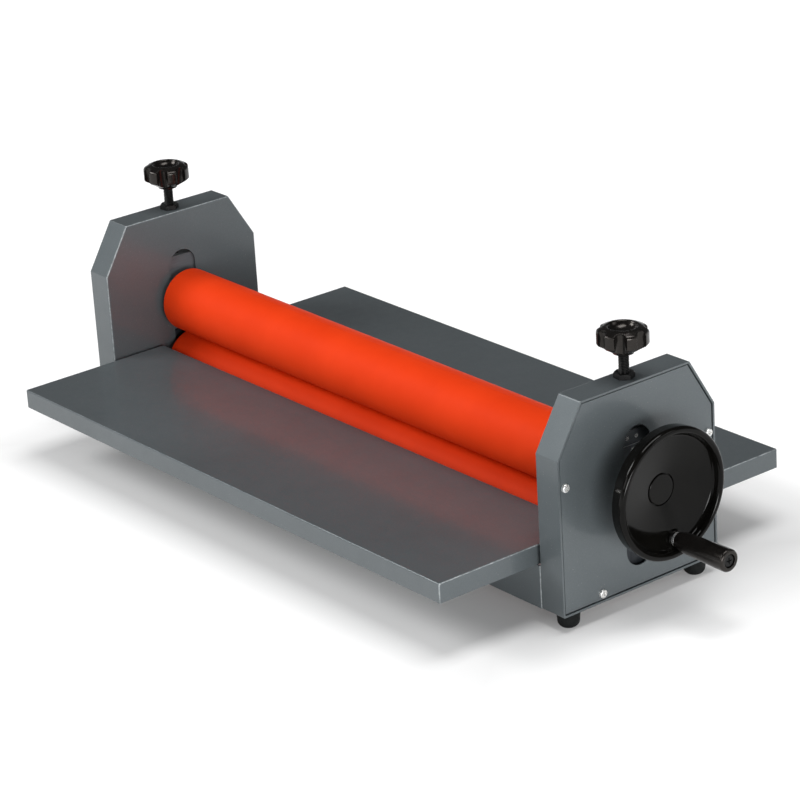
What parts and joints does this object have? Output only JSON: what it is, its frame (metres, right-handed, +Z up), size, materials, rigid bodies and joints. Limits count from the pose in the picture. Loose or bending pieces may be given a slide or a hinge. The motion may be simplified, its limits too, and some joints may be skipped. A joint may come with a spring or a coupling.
{
  "type": "cold roll laminator",
  "caption": "Hand-cranked cold roll laminator: silicone-covered rollers between sheet-metal side frames, with feed tables, star-knob pressure screws and a dished handwheel.",
  "frame": {"origin": "on the surface the machine stands on, midway between the side frames and straight under the two roller axes", "axes": "+X along the rollers towards the handwheel, +Y the way the sheet travels (it is fed in from -Y), +Z up"},
  "size_m": [0.8392, 0.411, 0.2629],
  "materials": {
    "frame_paint": "semi-gloss powder coat, fine texture",
    "silicone": "satin silicone rubber",
    "wheel_plastic": "gloss moulded",
    "foot_rubber": "matte",
    "black_steel": "black oxide",
    "zinc_screws": "bright zinc plate",
    "block_steel": "dark phosphate, satin",
    "bright_steel": "turned and ground"
  },
  "bodies": {
    "frame": {"apron_screws": "zinc_screws", "cover_screws": "zinc_screws", "foot_screws": "zinc_screws", "front_apron": "frame_paint", "front_left_foot": "foot_rubber", "front_right_foot": "foot_rubber", "front_table": "frame_paint", "guide_rails": "block_steel", "left_cover": "frame_paint", "left_frame_rim": "frame_paint", "left_lower_bearing_outer_ring": "bright_steel", "left_lower_block": "block_steel", "left_side_plate": "frame_paint", "lock_nuts": "black_steel", "lower_bearing_balls": "bright_steel", "lower_block_screws": "zinc_screws", "lower_plate_screws": "zinc_screws", "lower_retaining_plates": "block_steel", "rear_apron": "frame_paint", "rear_left_foot": "foot_rubber", "rear_right_foot": "foot_rubber", "rear_table": "frame_paint", "right_cover": "frame_paint", "right_frame_rim": "frame_paint", "right_lower_bearing_outer_ring": "bright_steel", "right_lower_block": "block_steel", "right_side_plate": "frame_paint", "screw_bushes": "black_steel", "table_nuts": "zinc_screws"},
    "carriage": {"left_upper_block": "block_steel", "right_upper_block": "block_steel", "left_upper_bearing_outer_ring": "bright_steel", "right_upper_bearing_outer_ring": "bright_steel", "upper_bearing_balls": "bright_steel", "upper_retaining_plates": "block_steel", "upper_plate_screws": "zinc_screws", "capture_pins": "zinc_screws"},
    "upper_roller": {"upper_roller_shaft": "bright_steel", "upper_roller_tube": "bright_steel", "upper_roller_sleeve": "silicone", "left_upper_bearing_inner_ring": "bright_steel", "right_upper_bearing_inner_ring": "bright_steel", "handwheel": "wheel_plastic", "handwheel_key": "bright_steel", "handwheel_bolt": "zinc_screws", "hub_cap": "wheel_plastic", "grip_spindle": "black_steel", "grip_ferrule": "zinc_screws"},
    "crank_grip": {"crank_grip": "wheel_plastic"},
    "lower_roller": {"lower_roller_shaft": "bright_steel", "lower_roller_tube": "bright_steel", "lower_roller_sleeve": "silicone", "left_lower_bearing_inner_ring": "bright_steel", "right_lower_bearing_inner_ring": "bright_steel"},
    "left_pressure_screw": {"left_pressure_screw": "black_steel", "left_knob": "wheel_plastic", "left_knob_insert": "zinc_screws"},
    "right_pressure_screw": {"right_pressure_screw": "black_steel", "right_knob": "wheel_plastic", "right_knob_insert": "zinc_screws"}
  },
  "joints": [
    {"name": "roller_lift", "type": "slide", "parent": "frame", "child": "carriage", "axis": [0, 0, 1], "range_m": [0, 0.012]},
    {"name": "upper_roller_spin", "type": "hinge", "parent": "carriage", "child": "upper_roller", "pos_m": [0, 0, 0.1196], "axis": [1, 0, 0], "continuous": true},
    {"name": "lower_roller_spin", "type": "hinge", "parent": "frame", "child": "lower_roller", "pos_m": [0, 0, 0.0539], "axis": [1, 0, 0], "continuous": true},
    {"name": "handle_spin", "type": "hinge", "parent": "upper_roller", "child": "crank_grip", "pos_m": [0.44, 0.00792, 0.07226], "axis": [1, 0, 0], "continuous": true},
    {"name": "left_screw_turn", "type": "hinge", "parent": "carriage", "child": "left_pressure_screw", "pos_m": [-0.34775, 0, 0.2], "axis": [0, 0, 1], "range_deg": [0, 2880]},
    {"name": "right_screw_turn", "type": "hinge", "parent": "carriage", "child": "right_pressure_screw", "pos_m": [0.34775, 0, 0.2], "axis": [0, 0, 1], "range_deg": [0, 2880]}
  ],
  "couplings": [
    {"joint": "lower_roller_spin", "follows": "upper_roller_spin", "ratio": -1},
    {"joint": "left_screw_turn", "follows": "roller_lift", "rad_per_m": 4188.8},
    {"joint": "right_screw_turn", "follows": "roller_lift", "rad_per_m": 4188.8}
  ]
}
